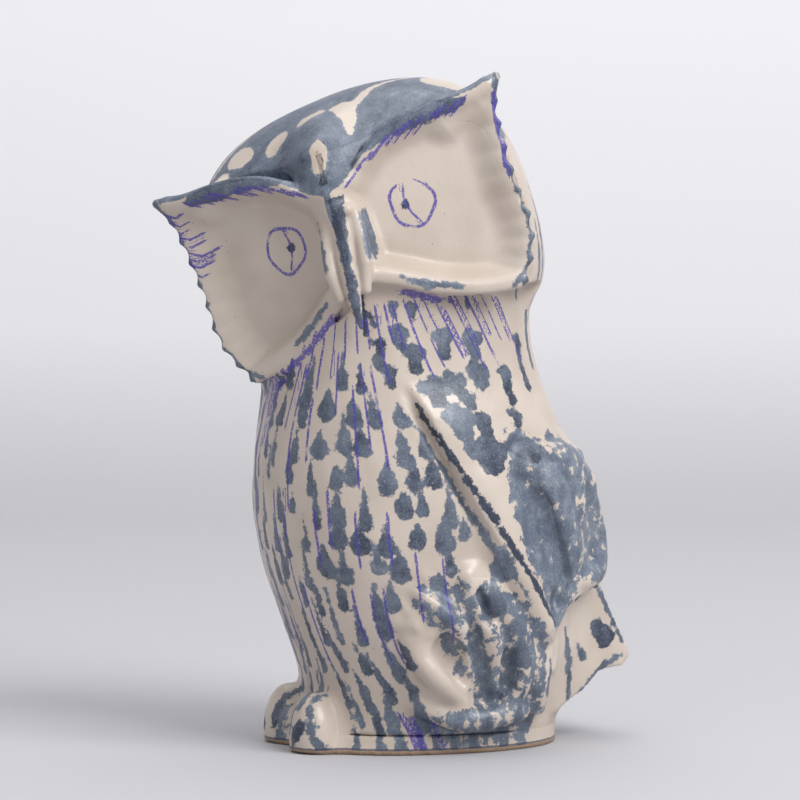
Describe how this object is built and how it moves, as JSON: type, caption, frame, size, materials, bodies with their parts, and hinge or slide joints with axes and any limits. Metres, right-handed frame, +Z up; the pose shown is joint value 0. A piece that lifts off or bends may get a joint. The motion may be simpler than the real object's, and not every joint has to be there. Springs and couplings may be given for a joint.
{
  "type": "owl figurine",
  "caption": "Hand-built glazed ceramic owl with its head turned and tipped, cream with blue-grey brushed feather marks.",
  "frame": {"origin": "middle of the flat underside of the base slab, on the plane that it rests on", "axes": "+Z up out of the underside, -Y towards the breast, +Y towards the tail, +X towards the owl's left wing"},
  "size_m": [0.1178, 0.1742, 0.2463],
  "materials": {
    "brushed_glaze": "satin",
    "cream_glaze": "satin",
    "dark_glaze": "satin",
    "base_clay": "matte"
  },
  "bodies": {
    "root": {"base_slab": "base_clay", "beak": "dark_glaze", "beak_fold_left": "cream_glaze", "beak_fold_right": "cream_glaze", "body_shell": "brushed_glaze", "brow_left": "brushed_glaze", "brow_right": "brushed_glaze", "ear_tuft_left": "brushed_glaze", "ear_tuft_right": "brushed_glaze", "face_disc_left": "cream_glaze", "face_disc_right": "cream_glaze", "face_rim_left": "brushed_glaze", "face_rim_right": "brushed_glaze", "flank_feathers_left": "brushed_glaze", "flank_feathers_right": "brushed_glaze", "foot_left": "brushed_glaze", "foot_right": "brushed_glaze", "head_shell": "brushed_glaze", "tail": "brushed_glaze", "wing_fold_left": "brushed_glaze", "wing_fold_right": "brushed_glaze", "wing_left": "brushed_glaze", "wing_right": "brushed_glaze"}
  },
  "joints": []
}
